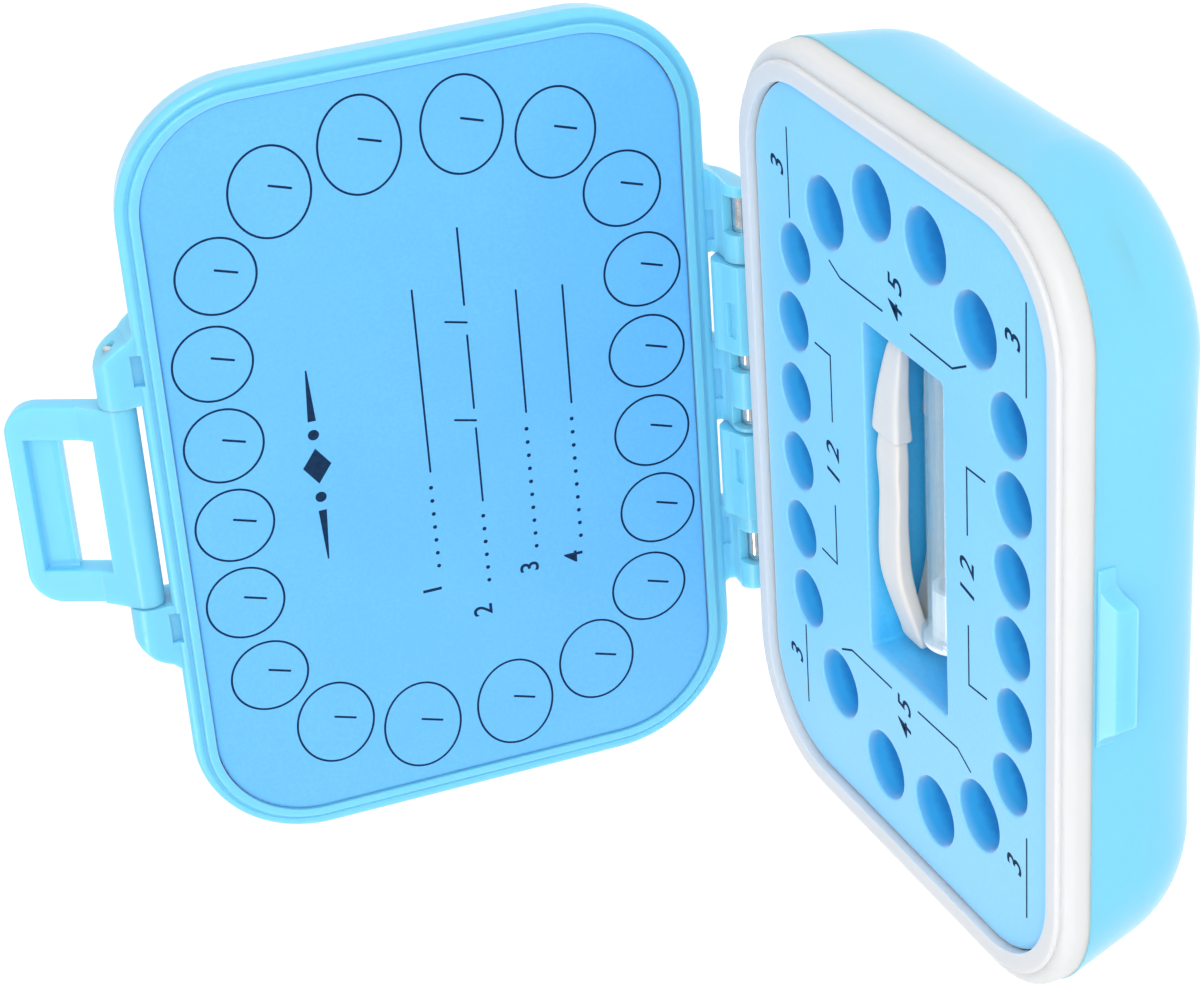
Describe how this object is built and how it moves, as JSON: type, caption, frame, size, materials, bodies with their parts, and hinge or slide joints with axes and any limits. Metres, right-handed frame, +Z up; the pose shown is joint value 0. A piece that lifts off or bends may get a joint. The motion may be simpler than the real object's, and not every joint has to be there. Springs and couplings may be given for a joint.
{
  "type": "baby tooth box",
  "caption": "Hinged keepsake case with a soft seal ring, a foam insert with tooth holes, a printed lid pad, a swinging latch flap, tweezers and a small stoppered vial.",
  "frame": {"origin": "centre of the flat bottom face of the base", "axes": "+X along the lid hinge, +Y from the catch towards the hinge, +Z up out of the open base"},
  "size_m": [0.1109, 0.1068, 0.1164],
  "materials": {
    "blue_plastic": "semi-gloss moulded polypropylene",
    "white_silicone": "satin silicone",
    "blue_foam": "matt closed-cell foam",
    "pin_steel": "bright nickel plating",
    "ivory_plastic": "satin moulded plastic",
    "tip_silicone": "soft satin silicone",
    "clear_plastic": "clear polystyrene",
    "milky_plastic": "milky polyethylene"
  },
  "bodies": {
    "base": {"base_shell": "blue_plastic", "seal_ring": "white_silicone", "foam_tray": "blue_foam", "foam_backing": "blue_foam", "hinge_pin_left": "pin_steel", "hinge_pin_right": "pin_steel"},
    "lid": {"lid_shell": "blue_plastic", "record_pad": "blue_foam", "latch_pin": "pin_steel"},
    "latch": {"latch_flap": "blue_plastic"},
    "tweezers": {"tweezer_arm_lower": "ivory_plastic", "tip_sleeve_lower": "tip_silicone"},
    "tweezers_upper": {"tweezer_arm_upper": "ivory_plastic", "tip_sleeve_upper": "tip_silicone"},
    "vial": {"vial_tube": "clear_plastic"},
    "stopper": {"vial_cap": "milky_plastic"}
  },
  "joints": [
    {"name": "lid_hinge", "type": "hinge", "parent": "base", "child": "lid", "pos_m": [0, 0.042, 0.02135], "axis": [-1, 0, 0], "range_deg": [-96, 0]},
    {"name": "latch_swing", "type": "hinge", "parent": "lid", "child": "latch", "pos_m": [0, 0.05637, 0.10305], "axis": [1, 0, 0], "range_deg": [0, 115]},
    {"name": "tweezers_lift", "type": "slide", "parent": "base", "child": "tweezers", "axis": [0, 0, 1], "range_m": [0, 0.05]},
    {"name": "tweezers_squeeze", "type": "hinge", "parent": "tweezers", "child": "tweezers_upper", "pos_m": [-0.0215, 0.0051, 0.0168], "axis": [0, 1, 0], "range_deg": [0, 4], "stiffness_Nm_per_rad": 0.08},
    {"name": "vial_lift", "type": "slide", "parent": "base", "child": "vial", "axis": [0, 0, 1], "range_m": [0, 0.05]},
    {"name": "stopper_pull", "type": "slide", "parent": "vial", "child": "stopper", "axis": [-1, 0, 0], "range_m": [0, 0.0049]}
  ]
}
